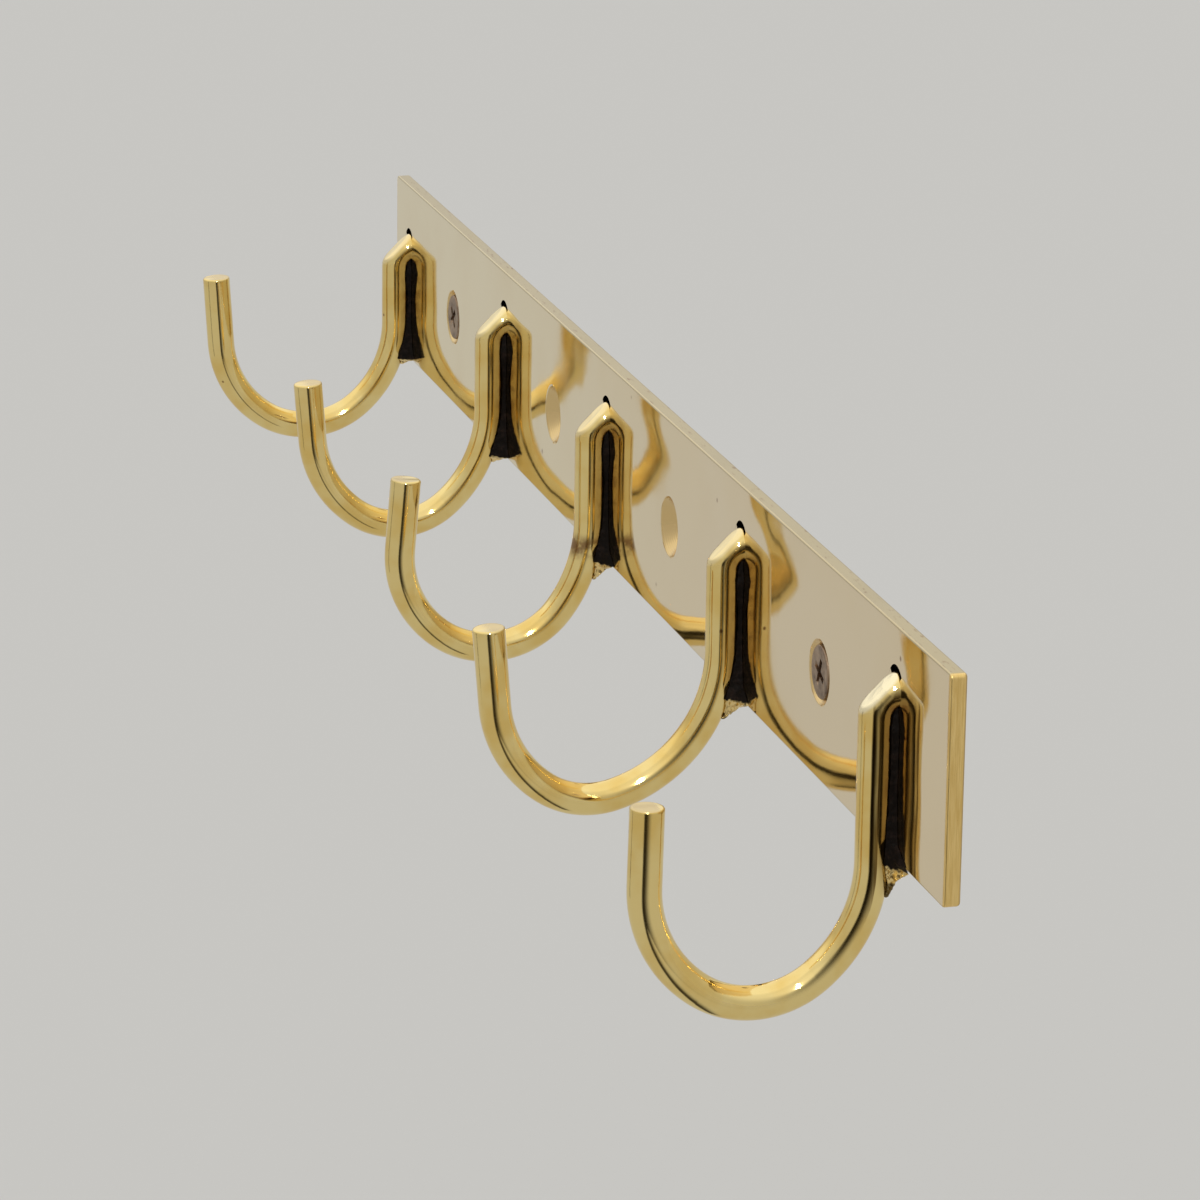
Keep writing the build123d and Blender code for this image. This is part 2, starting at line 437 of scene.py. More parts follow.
        rough = self.front_roughness + self.haze_roughness * s.step(cloud, *self.haze_band)
        uneven = self.edge_least + self.edge_grit * grit
        rough = rough + edges * (self.edge_roughness - self.front_roughness) * uneven
        rough = s.most([
            rough, corner * self.corner_roughness, behind * self.back_roughness, cones * self.cone_roughness,
        ])

        ripple = s.noise(s.p, self.ripple) * (self.ripple_least + self._near_hooks(s, plate))
        normal = s.bump(s.noise(s.p, self.slow), self.slow_depth, self._bowed(s, plate))
        normal = s.bump(ripple, self.ripple_depth, normal)
        normal = s.bump(scratch, self.scratch_depth, normal)
        normal = s.bump(grit * s.most([edges, behind]), self.grit_depth, normal)
        normal = s.bump(brush * ends, self.brush_depth, normal)
        normal = s.bump(self._turning(s, plate) * cones, self.ring_depth, normal)
        return s.finish({"Base Color": tone, "Metallic": 1.0, "Roughness": rough, "Normal": normal})

    def _bowed(self, s: Surface, plate: "BackPlate") -> Sock:
        """The face's normal, leaning away beside each hook where brazing bowed the bar.

        Args:
            s: The material.
            plate: The bar.

        Returns:
            The normal.
        """
        upper = s.step(s.z, *self.bow_upper)
        lean: Scalar = 0.0
        for hook in plate.hooks:
            beside = s.x - hook.x
            share = s.step(beside, *self.bow_far) * s.step(beside, *self.bow_near)
            lean = lean + share * (hook.bow_low + (hook.bow_top - hook.bow_low) * upper)
        face = s.node("NewGeometry", None, None, "Normal")
        return s.vector("NORMALIZE", s.vector("ADD", face, s.node("CombineXYZ", None, {0: lean})))

    def _nicks(self, s: Surface) -> Sock:
        """Dark nicks and smears along the long cut edges."""
        return s.step(s.noise(s.p, self.smear), *self.nick_band) * self.nick_share

    def _near_hooks(self, s: Surface, plate: "BackPlate") -> Sock:
        """1 close beside a hook, where the torch warped the bar."""
        return s.most([s.step(abs(s.x - hook.x), *self.warp_reach) for hook in plate.hooks])

    def _heat(self, s: Surface, mottle: Sock, plate: "BackPlate") -> Sock:
        """Brown heat tint close to each brazed shank.

        Args:
            s: The material.
            mottle: The pattern that breaks the tint up.
            plate: The bar.

        Returns:
            The tint's share.
        """
        tint = s.most([s.step(abs(s.x - hook.x), *self.heat_reach) for hook in plate.hooks])
        foot = s.step(s.z, *self.heat_foot)
        return tint * foot * s.step(mottle, *self.heat_band) * self.heat_share

    def _spots(self, s: Surface) -> Sock:
        """A few tiny brown spots."""
        return s.step(s.cells(s.p, self.spot_scale), *self.spot_band) * self.spot_share

    def _hole_shade(self, s: Surface, plate: "BackPlate") -> Sock:
        """1 on the walls of the holes that the hooks' tops pass through, painted near black as shade."""
        inside = s.most([s.step(s.reach(hook.hole_centre), *self.hook_hole) for hook in plate.hooks])
        return inside * s.past(s.y, plate.low.y, self.hook_hole_depth)

    def _cones(self, s: Surface, plate: "BackPlate") -> Sock:
        """1 on the countersinks' sunken walls."""
        inside = s.most([s.step(s.reach(centre), *self.countersink) for centre in plate.screw_holes])
        return inside * s.past(s.y, plate.low.y, self.countersink_depth)

    def _turning(self, s: Surface, plate: "BackPlate") -> Sock:
        """Rings that the countersinking tool left.

        Args:
            s: The material.
            plate: The bar.

        Returns:
            The rings' height, from 0 to 1.
        """
        rings = []
        for centre in plate.screw_holes:
            r = s.reach(centre)
            wave = 0.5 + 0.5 * s.math("SINE", r * (2.0 * math.pi / self.ring_pitch))
            rings.append(wave * s.step(r, *self.countersink))
        return s.most(rings)


@dataclass(frozen=True)
class RodBrass:
    """Hand-polished brass rod, satin on the sawn tip, with brown marks from the torch; painted shade on the
    shank's side that faces the bar, a painted dark reflection streak and a painted highlight on the filed
    flat.
    """

    name: str = "rod_polished_brass"
    bright: Colour = (0.85, 0.67, 0.285)
    warm: Colour = (0.79, 0.56, 0.18)
    tip: Colour = (0.70, 0.55, 0.28)
    brown: Colour = (0.17, 0.07, 0.03)
    amber: Colour = (0.26, 0.15, 0.035)
    dark_reflection_tone: Colour = (0.135, 0.072, 0.014)
    filed_highlight_tone: Colour = (0.96, 0.86, 0.60)

    cloud: Grain = Grain(130.0, detail=3.0)
    haze: Grain = Grain(420.0, detail=3.0, rough=0.6)
    grit: Grain = Grain(4200.0, rough=0.7)
    waves: Grain = Grain(along=(330.0, 60.0, 60.0), detail=1.0)
    lines: Grain = Grain(along=(1700.0, 110.0, 110.0))
    drawn: Grain = Grain(along=(900.0, 900.0, 45.0))
    speck_scale: float = 130.0
    crumple_scale: float = 420.0

    tip_side: Pair = (4.5 * MM, 4.0 * MM)
    sawn_band: Pair = (0.32 * MM, 0.12 * MM)
    hidden_band: Pair = (-1.2 * MM, -0.6 * MM)
    seam_side: Pair = (0.4 * MM, 2.6 * MM)
    seam_top: Pair = (3.0 * MM, 6.0 * MM)
    ring_reach: Pair = (3.0 * MM, 0.6 * MM)
    ring_front: Pair = (-16.0 * MM, -12.0 * MM)
    tint_shade_side: Pair = (-0.9 * MM, 0.9 * MM)
    tint_shade_top: Pair = (2.0 * MM, 5.0 * MM)
    tint_shade_foot: Pair = (-27.0 * MM, -19.0 * MM)
    tint_shade_ragged: float = 1.5 * MM
    reflection_front: Pair = (-1.45 * MM, -1.15 * MM)
    reflection_back: Pair = (0.15 * MM, -0.05 * MM)
    reflection_top: Pair = (3.0 * MM, 7.0 * MM)
    reflection_foot: Pair = (-35.0 * MM, -22.0 * MM)
    reflection_ragged: float = 0.9 * MM
    facet_band: Pair = (1.1 * MM, 0.3 * MM)
    facet_top: Pair = (8.0 * MM, 7.0 * MM)
    crumple_top: Pair = (5.5 * MM, 2.5 * MM)

    warm_band: Pair = (0.35, 0.7)
    haze_band: Pair = (0.5, 0.85)
    seam_band: Pair = (0.40, 0.62)
    ring_band: Pair = (0.25, 0.6)
    drawn_band: Pair = (0.22, 0.5)
    speck_band: Pair = (0.06, 0.03)
    seam_share: float = 0.6
    speck_share: float = 0.85

    roughness: float = 0.06
    haze_roughness: float = 0.06
    tip_roughness: float = 0.30
    facet_roughness: float = 0.2
    torch_roughness: float = 0.3

    soft_radius: float = 0.45 * MM
    soft_samples: int = 6
    wave_depth: float = 0.16 * MM
    line_depth: float = 0.013 * MM
    grit_depth: float = 0.012 * MM

    def material(self, hook: "Hook") -> bpy.types.Material:
        """Make the finish for one hook.

        Args:
            hook: The hook, for its tip, its bend and its torch marks.

        Returns:
            The material.
        """
        s = Surface(f"{self.name}_{hook.number}")
        cloud = s.noise(s.p, self.cloud)
        sawn = s.under(s.z, hook.tip.z, self.sawn_band) * s.past(s.y, hook.tip.y, self.tip_side)
        satin = s.most([sawn, s.step(s.y, *self.hidden_band)])
        facet = self._facet(s, hook)
        seam_tint_and_shade = self._torch_tint_and_shade(s, hook)

        tone = s.mix(s.step(cloud, *self.warm_band), self.bright, self.warm)
        # Amber heat tint, with painted shade on the half of the shank that faces the bar.
        tone = s.mix(self._amber_tint_and_shade(s, cloud, hook), tone, self.amber)
        # Painted dark reflection: a dark brown streak down the shank.
        if hook.dark_reflection > 0.0:
            tone = s.mix(self._dark_reflection_streak(s, hook), tone, self.dark_reflection_tone)
        # Painted highlight: the filed flat is painted pale.
        tone = s.mix(facet, tone, self.filed_highlight_tone)
        tone = s.mix(satin, tone, self.tip)
        # Brown heat tint with painted shade at the braze seam; the ring on some shanks is a real heat mark.
        tone = s.mix(seam_tint_and_shade, tone, self.brown)
        tone = s.mix(self._specks(s), tone, self.brown)

        rough = self.roughness + self.haze_roughness * s.step(cloud, *self.haze_band)
        rough = s.most([
            rough, satin * self.tip_roughness, facet * self.facet_roughness, seam_tint_and_shade * self.torch_roughness,
        ])

        normal = s.node("Bevel", {"samples": self.soft_samples}, {"Radius": self.soft_radius})
        normal = s.bump(s.noise(s.p, self.waves), self.wave_depth, normal)
        normal = s.bump(s.noise(s.p, self.lines), self.line_depth, normal)
        normal = s.bump(s.noise(s.p, self.grit) * satin, self.grit_depth, normal)
        normal = s.bump(self._crumple(s, hook), hook.crumple, normal)
        return s.finish({"Base Color": tone, "Metallic": 1.0, "Roughness": rough, "Normal": normal})

    def _torch_tint_and_shade(self, s: Surface, hook: "Hook") -> Sock:
        """Brown heat tint with painted shade along the side at the braze seam, and the ring that the torch
        left on some shanks.

        Args:
            s: The material.
            hook: The hook.

        Returns:
            The tint's share.
        """
        haze = s.noise(s.p, self.haze)
        seam = s.past(s.y, hook.shank_y, self.seam_side) * s.under(s.z, hook.bend_top, self.seam_top)
        seam = seam * s.step(haze, *self.seam_band) * self.seam_share
        if hook.ring_strength <= 0.0:
            return seam
        ring = s.step(abs(s.z - hook.ring_z), *self.ring_reach) * s.step(haze, *self.ring_band)
        ring = ring * s.step(s.y, *self.ring_front)
        return s.most([seam, ring * hook.ring_strength])

    def _amber_tint_and_shade(self, s: Surface, cloud: Sock, hook: "Hook") -> Sock:
        """Amber heat tint and painted shade on the half of the shank that faces the bar.

        Args:
            s: The material.
            cloud: The pattern that makes its edge ragged.
            hook: The hook.

        Returns:
            The share of the tint and painted shade.
        """
        ragged = s.y + (cloud - 0.5) * self.tint_shade_ragged
        length = s.under(s.z, hook.bend_top, self.tint_shade_top) * s.step(s.z, *self.tint_shade_foot)
        return s.past(ragged, hook.shank_y, self.tint_shade_side) * length * hook.tint_and_shade

    def _dark_reflection_streak(self, s: Surface, hook: "Hook") -> Sock:
        """Painted dark reflection: a brown streak along a shank's sides, down into its sweep.

        Args:
            s: The material.
            hook: The hook.

        Returns:
            The streak's share.
        """
        drawn = s.noise(s.p, self.drawn)
        below = s.math("MAXIMUM", hook.sweep_z - s.z, 0.0)
        aside = s.y - hook.shank_y + below * below / (2.0 * hook.sweep_radius)
        aside = aside + (drawn - 0.5) * self.reflection_ragged
        streak = s.step(aside, *self.reflection_front) * s.step(aside, *self.reflection_back)
        streak = streak * s.step(drawn, *self.drawn_band)
        length = s.under(s.z, hook.bend_top, self.reflection_top) * s.step(s.z, *self.reflection_foot)
        return streak * length * hook.dark_reflection

    def _facet(self, s: Surface, hook: "Hook") -> Sock:
        """Share of the flat that was filed on the top bend; its pale tone is a painted highlight."""
        flat = s.under(s.z - s.y, hook.facet_reach, self.facet_band)
        return flat * s.under(s.z, hook.bend_top, self.facet_top) * hook.filed

    def _specks(self, s: Surface) -> Sock:
        """Sparse dark pits."""
        return s.step(s.cells(s.p, self.speck_scale), *self.speck_band) * self.speck_share

    def _crumple(self, s: Surface, hook: "Hook") -> Sock:
        """Small dents that filing left on the top bend."""
        return s.cells(s.p, self.crumple_scale) * s.under(s.z, hook.bend_top, self.crumple_top)


@dataclass(frozen=True)
class BrazeCrust:
    """Filler metal: black flux and scale in the crevice, bright pitted brass on the lip."""

    name: str = "braze_crust"
    scale_black: Colour = (0.006, 0.004, 0.003)
    scale_brown: Colour = (0.022, 0.013, 0.010)
    gold: Colour = (0.80, 0.60, 0.26)
    pit: Colour = (0.05, 0.03, 0.015)
    ragged: Grain = Grain(900.0, detail=3.0)
    clump: Grain = Grain(700.0, detail=4.0, rough=0.65)
    pit_scale: float = 900.0
    lip_ragged: float = 1.6 * MM
    lip_band: Pair = (0.25 * MM, -0.25 * MM)
    ledge_ragged: float = 1.2 * MM
    ledge_band: Pair = (0.0, -0.6 * MM)
    clump_band: Pair = (0.45, 0.75)
    pit_band: Pair = (0.38, 0.22)
    pit_share: float = 0.7
    underside_shade_share: float = 0.75
    roughness: float = 0.45
    clump_roughness: float = 0.2
    lip_polish: float = 0.36
    pit_roughness: float = 0.2
    clump_depth: float = 0.07 * MM
    pit_depth: float = 0.10 * MM
    sheen: float = 0.06

    def material(self, lip_z: float, ledge: float) -> bpy.types.Material:
        """Make the crust.

        Args:
            lip_z: Height where the black crust ends and the filed gold lip starts.
            ledge: Height of the gold lip, with painted shade below it.

        Returns:
            The material.
        """
        s = Surface(self.name)
        ragged = s.noise(s.p, self.ragged) - 0.5
        clump = s.noise(s.p, self.clump)
        pits = s.step(s.cells(s.p, self.pit_scale), *self.pit_band)
        lip = s.past(s.z + ragged * self.lip_ragged, lip_z, self.lip_band)
        below = s.past(s.z + ragged * self.ledge_ragged, lip_z - ledge, self.ledge_band)
        crust = s.mix(s.step(clump, *self.clump_band), self.scale_black, self.scale_brown)
        bright = s.mix(pits * self.pit_share, self.gold, self.pit)
        # Painted shade: below the ledge the lip is painted dark brown.
        bright = s.mix(below * self.underside_shade_share, bright, self.scale_brown)
        rough = self.roughness + self.clump_roughness * clump
        rough = rough - lip * (self.lip_polish - self.pit_roughness * pits)
        normal = s.bump(clump, self.clump_depth)
        normal = s.bump(1.0 - pits * lip, self.pit_depth, normal)
        return s.finish({
            "Base Color": s.mix(lip, crust, bright), "Metallic": lip, "Roughness": rough, "Normal": normal,
            "Specular IOR Level": self.sheen,
        })


@dataclass(frozen=True)
class ScrewSteel:
    """Dull brownish steel, with painted shade deeper in the recess."""

    name: str = "screw_steel"
    steel: Colour = (0.37, 0.265, 0.18)
    dull: Colour = (0.17, 0.115, 0.08)
    recess_shade: Colour = (0.10, 0.08, 0.06)
    cloud: Grain = Grain(500.0, detail=4.0, rough=0.6)
    grit: Grain = Grain(3800.0, rough=0.7)
    recess_front: Pair = (-2.2 * MM, -1.6 * MM)
    recess_back: Pair = (0.8 * MM, 0.2 * MM)
    dull_band: Pair = (0.35, 0.72)
    recess_shade_share: float = 0.7
    roughness: float = 0.26
    cloud_roughness: float = 0.22
    grit_depth: float = 0.010 * MM

    def material(self) -> bpy.types.Material:
        """Make the steel.

        Returns:
            The material.
        """
        s = Surface(self.name)
        cloud = s.noise(s.p, self.cloud)
        recess_shade_mask = s.step(s.y, *self.recess_front) * s.step(s.y, *self.recess_back)
        tone = s.mix(s.step(cloud, *self.dull_band), self.steel, self.dull)
        # Painted shade: the screw is painted darker deeper in, in its cross recess.
        tone = s.mix(recess_shade_mask * self.recess_shade_share, tone, self.recess_shade)
        rough = self.roughness + self.cloud_roughness * cloud
        normal = s.bump(s.noise(s.p, self.grit), self.grit_depth)
        return s.finish({"Base Color": tone, "Metallic": 1.0, "Roughness": rough, "Normal": normal})


@dataclass(frozen=True)
class FloorPaper:
    """The studio's matt paper floor, with a trace of grain."""

    name: str = "floor_paper"
    tone: Colour = (0.608, 0.603, 0.592)
    grain: Grain = Grain(300.0)
    grain_share: float = 0.03
    grain_dark: float = 0.9

    def material(self) -> bpy.types.Material:
        """Make the paper.

        Returns:
            The material.
        """
        s = Surface(self.name)
        darker = tuple(c * self.grain_dark for c in self.tone)
        tone = s.mix(s.noise(s.p, self.grain) * self.grain_share, self.tone, darker)
        return s.finish({"Base Color": tone, "Roughness": 1.0, "Specular IOR Level": 0.0})


@dataclass(frozen=True)
class DarkCloth:
    """Dark cloth with soft edges: a wide drop with an apron on the floor, and a narrow post.

    Turns are in degrees round the rack, from +X towards +Y.
    """

    name: str = "dark_cloth"
    tone: Colour = (0.03, 0.027, 0.022)
    weave: Grain = Grain(40.0)
    weave_light: float = 1.6
    drop_in: Pair = (-29.0, -24.0)
    drop_out: Pair = (12.0, -18.0)
    drop_heights: Pair = (0.20, 0.0)
    apron_out: Pair = (-22.0, -8.0)
    apron_heights: Pair = (-0.265, -0.275)
    post_middle: float = -104.0
    post_band: Pair = (3.0, 1.2)
    post_heights: Pair = (0.14, 0.0)
    post_share: float = 0.8

    def material(self) -> bpy.types.Material:
        """Make the cloth.

        Returns:
            The material.
        """
        s = Surface(self.name)
        turn = s.math("ARCTAN2", s.y, s.x) * math.degrees(1.0)
        lying = s.step(s.z, *self.apron_heights)
        drop = s.step(turn, *self.drop_in) * s.step(turn, *self.drop_out)
        drop = drop * (1.0 - lying * s.step(turn, *self.apron_out))
        drop = drop * s.step(s.z, *self.drop_heights)
        post = s.step(abs(turn - self.post_middle), *self.post_band)
        post = post * s.step(s.z, *self.post_heights) * self.post_share * (1.0 - lying)
        lighter = tuple(c * self.weave_light for c in self.tone)
        return s.finish({
            "Base Color": s.mix(s.noise(s.p, self.weave), self.tone, lighter),
            "Roughness": 1.0, "Specular IOR Level": 0.0, "Alpha": s.most([drop, post]),
        })


def clamp(value: float) -> float:
    """A value held between 0 and 1."""
    return min(1.0, max(0.0, value))


def new_object(name: str, mesh: bpy.types.Mesh) -> bpy.types.Object:
    """Put a mesh into the scene.

    Args:
        name: The piece's name.
        mesh: Its mesh.

    Returns:
        The linked object.
    """
    made = bpy.data.objects.new(name, mesh)
    bpy.context.scene.collection.objects.link(made)
    return made


def wear(piece: bpy.types.Object, material: bpy.types.Material) -> None:
    """Give a piece one material in place of whatever it had."""
    piece.data.materials.clear()
    piece.data.materials.append(material)


def frozen_copy(piece: bpy.types.Object, name: str) -> bpy.types.Object:
    """A piece's evaluated mesh as a new object, with its modifiers applied."""
    shown = piece.evaluated_get(bpy.context.evaluated_depsgraph_get())
    return new_object(name, bpy.data.meshes.new_from_object(shown))


def smooth_faces(mesh: bpy.types.Mesh) -> None:
    """Shade every face of a mesh smoothly."""
    mesh.polygons.foreach_set("use_smooth", [True] * len(mesh.polygons))


@dataclass
class Hook:
    """One bent rod hook."""

    number: int
    crumple: float = 0.02 * MM
    filed: float = 0.4
    ring_z: float = 0.0
    ring_strength: float = 0.0
    tint_and_shade: float = 0.45
    dark_reflection: float = 0.0
    bow_low: float = 0.0
    bow_top: float = 0.0
    shank_y: float = -6.3 * MM
    sweep_z: float = -20.8 * MM
    sweep_radius: float = 25.5 * MM
    leg_width: float = 5.0 * MM
    bend_height: float = 8.0 * MM
    bend_front: float = -12.0 * MM
    hole_drop: float = 2.8 * MM

    def __post_init__(self) -> None:
        """Read the hook's place from its node."""
        self.node = frame["nodes"][f"hook_{self.number}"]
        low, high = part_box(self.node.name)
        self.x = (low.x + high.x) / 2
        self.bend_top = high.z
        points = [v.co for v in self.node.data.vertices]
        leg = [co for co in points if co.y < low.y + self.leg_width]
        self.tip = max(leg, key=lambda co: co.z).copy()
        bend = [co for co in points if co.z > high.z - self.bend_height and co.y > self.bend_front]
        self.facet_reach = max(co.z - co.y for co in bend)

    @property
    def hole_centre(self) -> Vector:
        """Middle of the hole that the hook's top passes through."""
        return Vector((self.x, 0.0, self.bend_top - self.hole_drop))

    def dress(self, finish: RodBrass) -> None:
        """Polish the rod."""
        wear(self.node, finish.material(self))
        LOG.info("hook %d dressed, tip at %.4f m", self.number, self.tip.z)


@dataclass
class BrazeSeam:
    """The filler along one shank, as a lumpy run with a pitted lip."""

    number: int
    lip_z: float = -19.5 * MM
    ledge: float = 3.4 * MM
    lip_blend: float = 1.0 * MM
    lump: float = 0.12 * MM
    lump_scale: float = 0.9
    lump_fall: float = 0.7
    lump_octaves: int = 3
    lip_calm: float = 0.5
    pit: float = 0.44 * MM
    pit_scale: float = 1.7
    pit_floor: float = 0.15
    voxel: float = 0.17 * MM
    smooth_factor: float = 0.6
    smooth_rounds: int = 5
    raise_top: float = 1.6 * MM
    raise_over: float = 4.0 * MM
    face_y: float = -3.0 * MM
    face_guard: float = -3.4 * MM
    face_foot: float = -19.8 * MM

    def build(self) -> bpy.types.Object:
        """Make the lumpy run over the plain solid.

        Returns:
            The piece that stands for the solid.
        """
        node = frame["nodes"][f"braze_seam_{self.number}"]
        draft = new_object("seam_draft", node.data.copy())
        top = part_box(node.name)[1].z
        for v in draft.data.vertices:
            share = clamp((v.co.z - top) / self.raise_over + 1.0)
            v.co.z += self.raise_top * share * share
        remesh = draft.modifiers.new("even", "REMESH")
        remesh.mode = "VOXEL"
        remesh.voxel_size = self.voxel
        smooth = draft.modifiers.new("soft", "SMOOTH")
        smooth.factor = self.smooth_factor
        smooth.iterations = self.smooth_rounds
        piece = frozen_copy(draft, f"braze_run_{self.number}")
        bpy.data.objects.remove(draft)
        self._roughen(piece.data)
        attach(piece, BODY)
        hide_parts(node.name)
        LOG.info("braze run %d: %d faces", self.number, len(piece.data.polygons))
        return piece

    def _roughen(self, mesh: bpy.types.Mesh) -> None:
        """Lump the run and pit its lip, without going into the bar.

        Args:
            mesh: The run's mesh.
        """
        moves = []
        for v in mesh.vertices:
            at = v.co / MM
            lump = noise.fractal(at * self.lump_scale, self.lump_fall, 2.0, self.lump_octaves) * self.lump
            if v.co.y > self.face_guard:
                lump = min(0.0, lump)
            pitted = max(0.0, noise.noise(at * self.pit_scale) - self.pit_floor) * self.pit
            share = clamp((self.lip_z - v.co.z) / self.lip_blend + 0.5)
            moves.append(v.co + v.normal * (lump * (1.0 - self.lip_calm * share) - pitted * share))
        for v, co in zip(mesh.vertices, moves):
            v.co = (co.x, min(co.y, self.face_y), co.z) if co.z > self.face_foot else co
        smooth_faces(mesh)
        mesh.update()

    def dress(self, piece: bpy.types.Object, crust: BrazeCrust) -> None:
        """Blacken the run and leave its lip gold."""
        wear(piece, crust.material(self.lip_z, self.ledge))


@dataclass
class FlushFill:
    """Filler filed flush with the bar, in the lower part of the gap round a hook's bent top."""

    hook: Hook
    inner: float = 2.9 * MM
    outer: float = 4.03 * MM
    face_y: float = -3.0 * MM
    depth: float = 0.8 * MM
    open_from: float = 40.0
    open_to: float = 140.0
    steps: int = 72

    def build(self) -> bpy.types.Object:
        """Make the crescent.

        Returns:
            The new piece.
        """
        name = f"braze_fill_{self.hook.number}"
        front = self.face_y
        back = front + self.depth
        outline = ((self.inner, front), (self.outer, front), (self.outer, back), (self.inner, back))
        sides = len(outline)
        sweep = 360.0 - (self.open_to - self.open_from)
        corners = []
        for k in range(self.steps + 1):
            a = math.radians(self.open_to + sweep * k / self.steps)
            for r, y in outline:
                corners.append(self.hook.hole_centre + Vector((r * math.cos(a), y, r * math.sin(a))))
        faces = [(0, 1, 2, 3), tuple(sides * self.steps + c for c in (3, 2, 1, 0))]
        for k in range(self.steps):
            near, far = sides * k, sides * (k + 1)
            for c in range(sides):
                n = (c + 1) % sides
                faces.append((near + c, far + c, far + n, near + n))
        mesh = bpy.data.meshes.new(name)
        mesh.from_pydata(corners, [], faces)
        piece = new_object(name, mesh)
        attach(piece, BODY)
        LOG.info("flush fill %d: %d faces", self.hook.number, len(faces))
        return piece

    def dress(self, piece: bpy.types.Object, polish: bpy.types.Material) -> None:
        """Give the crescent the bar's polish."""
        wear(piece, polish)


@dataclass
class WallScrew:
    """A countersunk cross-recess screw, its shank threaded."""

    number: int
    pitch: float = 2.2 * MM
    core: float = 1.65 * MM
    outer: float = 2.5 * MM
    neck: float = 0.4 * MM
    neck_margin: float = 0.05 * MM
    smooth_neck: float = 2.2 * MM
    taper: float = 6.0 * MM
    taper_power: float = 0.8
    crest_lead: float = 1.25
    ridge_half: float = 0.30
    least_radius: float = 0.05 * MM
    sharp_angle: float = 35.0
    around: int = 40
    per_turn: int = 16

    def build(self) -> bpy.types.Object:
        """Join the solid's own head to a threaded shank.

        Returns:
            The piece that stands for the solid.
        """
        node = frame["nodes"][f"wall_screw_{self.number}"]
        low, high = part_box(node.name)
        axis = Vector(((low.x + high.x) / 2, 0.0, (low.z + high.z) / 2))
        bm = bmesh.new()
        bm.from_mesh(node.data)
        far = [f for f in bm.faces if f.calc_center_median().y > self.neck + self.neck_margin]
        bmesh.ops.delete(bm, geom=far, context="FACES")
        self._thread(bm, axis, high.y)
        mesh = bpy.data.meshes.new(f"threaded_screw_{self.number}")
        bm.to_mesh(mesh)
        bm.free()
        piece = new_object(f"threaded_screw_{self.number}", mesh)
        smooth_faces(mesh)
        mesh.set_sharp_from_angle(angle=math.radians(self.sharp_angle))
        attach(piece, BODY)
        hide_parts(node.name)
        LOG.info("screw %d threaded to %.4f m", self.number, high.y)
        return piece

    def _radius(self, along: float, turn: float, length: float) -> float:
        """The thread's radius, plain at the neck and tapered at the point.

        Args:
            along: Distance behind the neck.
            turn: Angle round the axis, in turns.
            length: The whole shank.

        Returns:
            The radius there.
        """
        fade = clamp((along - self.smooth_neck) / self.pitch)
        point = min(1.0, (length - along) / self.taper)
        phase = (along / self.pitch - turn) % 1.0
        ridge = max(0.0, 1.0 - abs(phase - 0.5) / self.ridge_half)
        core = self.core * point ** self.taper_power
        flank = core + (self.outer * min(1.0, point * self.crest_lead) - core) * ridge
        return max(self.outer * (1.0 - fade) + flank * fade, self.least_radius)

    def _thread(self, bm: bmesh.types.BMesh, axis: Vector, end: float) -> None:
        """Add the threaded shank to a mesh.

        Args:
            bm: The mesh that holds the head.
            axis: A point on the screw's axis.
            end: Y of the point.
        """
        length = end - self.neck
        rows = int(length / self.pitch * self.per_turn)
        rings = []
        for row in range(rows + 1):
            along = length * row / rows
            ring = []
            for k in range(self.around):
                turn = k / self.around
                r = self._radius(along, turn, length)
                a = 2.0 * math.pi * turn
                at = (axis.x + r * math.cos(a), self.neck + along, axis.z + r * math.sin(a))
                ring.append(bm.verts.new(at))
            rings.append(ring)
        for near, far in zip(rings, rings[1:]):
            for k in range(self.around):
                n = (k + 1) % self.around
                bm.faces.new((near[k], far[k], far[n], near[n]))
        bm.faces.new(rings[-1])

    def dress(self, piece: bpy.types.Object, steel: ScrewSteel) -> None:
        """Give the screw its steel."""
        wear(piece, steel.material())


@dataclass
class BackPlate:
    """The flat bar."""

    hooks: list[Hook]
    hole_z: float = -0.6 * MM
    spot_aside: float = 2.2 * MM
    spot_z: float = 15.0 * MM

    def __post_init__(self) -> None:
        """Read the bar's place and its holes."""
        self.node = frame["nodes"]["back_plate"]
        self.low, self.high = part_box("back_plate")
        self.middle = (self.low + self.high) / 2
        self.spot = Vector((self.hooks[0].x + self.spot_aside, 0.0, self.spot_z))
        self.screw_holes = [Vector((x, 0.0, self.hole_z)) for x in self._hole_places()]

    @staticmethod
    def _hole_places() -> list[float]:
        """Find the holes along the bar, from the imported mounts.

        Returns:
            Their X places, in order.
        """
        places = []
        for mount in frame["record"]["mounts"]:
            if mount["kind"] == "bolt_pattern":
                half = mount["dims"]["spacing_x_mm"] * MM / 2
                places += [mount["pos_m"][0] - half, mount["pos_m"][0] + half]
        return sorted(places)

    def dress(self, polish: bpy.types.Material) -> None:
        """Polish the bar."""
        wear(self.node, polish)
        LOG.info("bar dressed, holes at %s", [round(c.x, 4) for c in self.screw_holes])


@dataclass(frozen=True)
class Patch:
    """A round patch of the room: its direction and reaches in degrees, and its level of light."""

    azimuth: float
    elevation: float
    inner: float
    outer: float
    level: float

    @property
    def axis(self) -> Triple:
        """Unit vector to the patch's middle."""
        a, e = math.radians(self.azimuth), math.radians(self.elevation)
        return (math.cos(e) * math.cos(a), math.cos(e) * math.sin(a), math.sin(e))

    @property
    def cosines(self) -> Pair:
        """Cosines of the outer and the inner reach."""
        return (math.cos(math.radians(self.outer)), math.cos(math.radians(self.inner)))


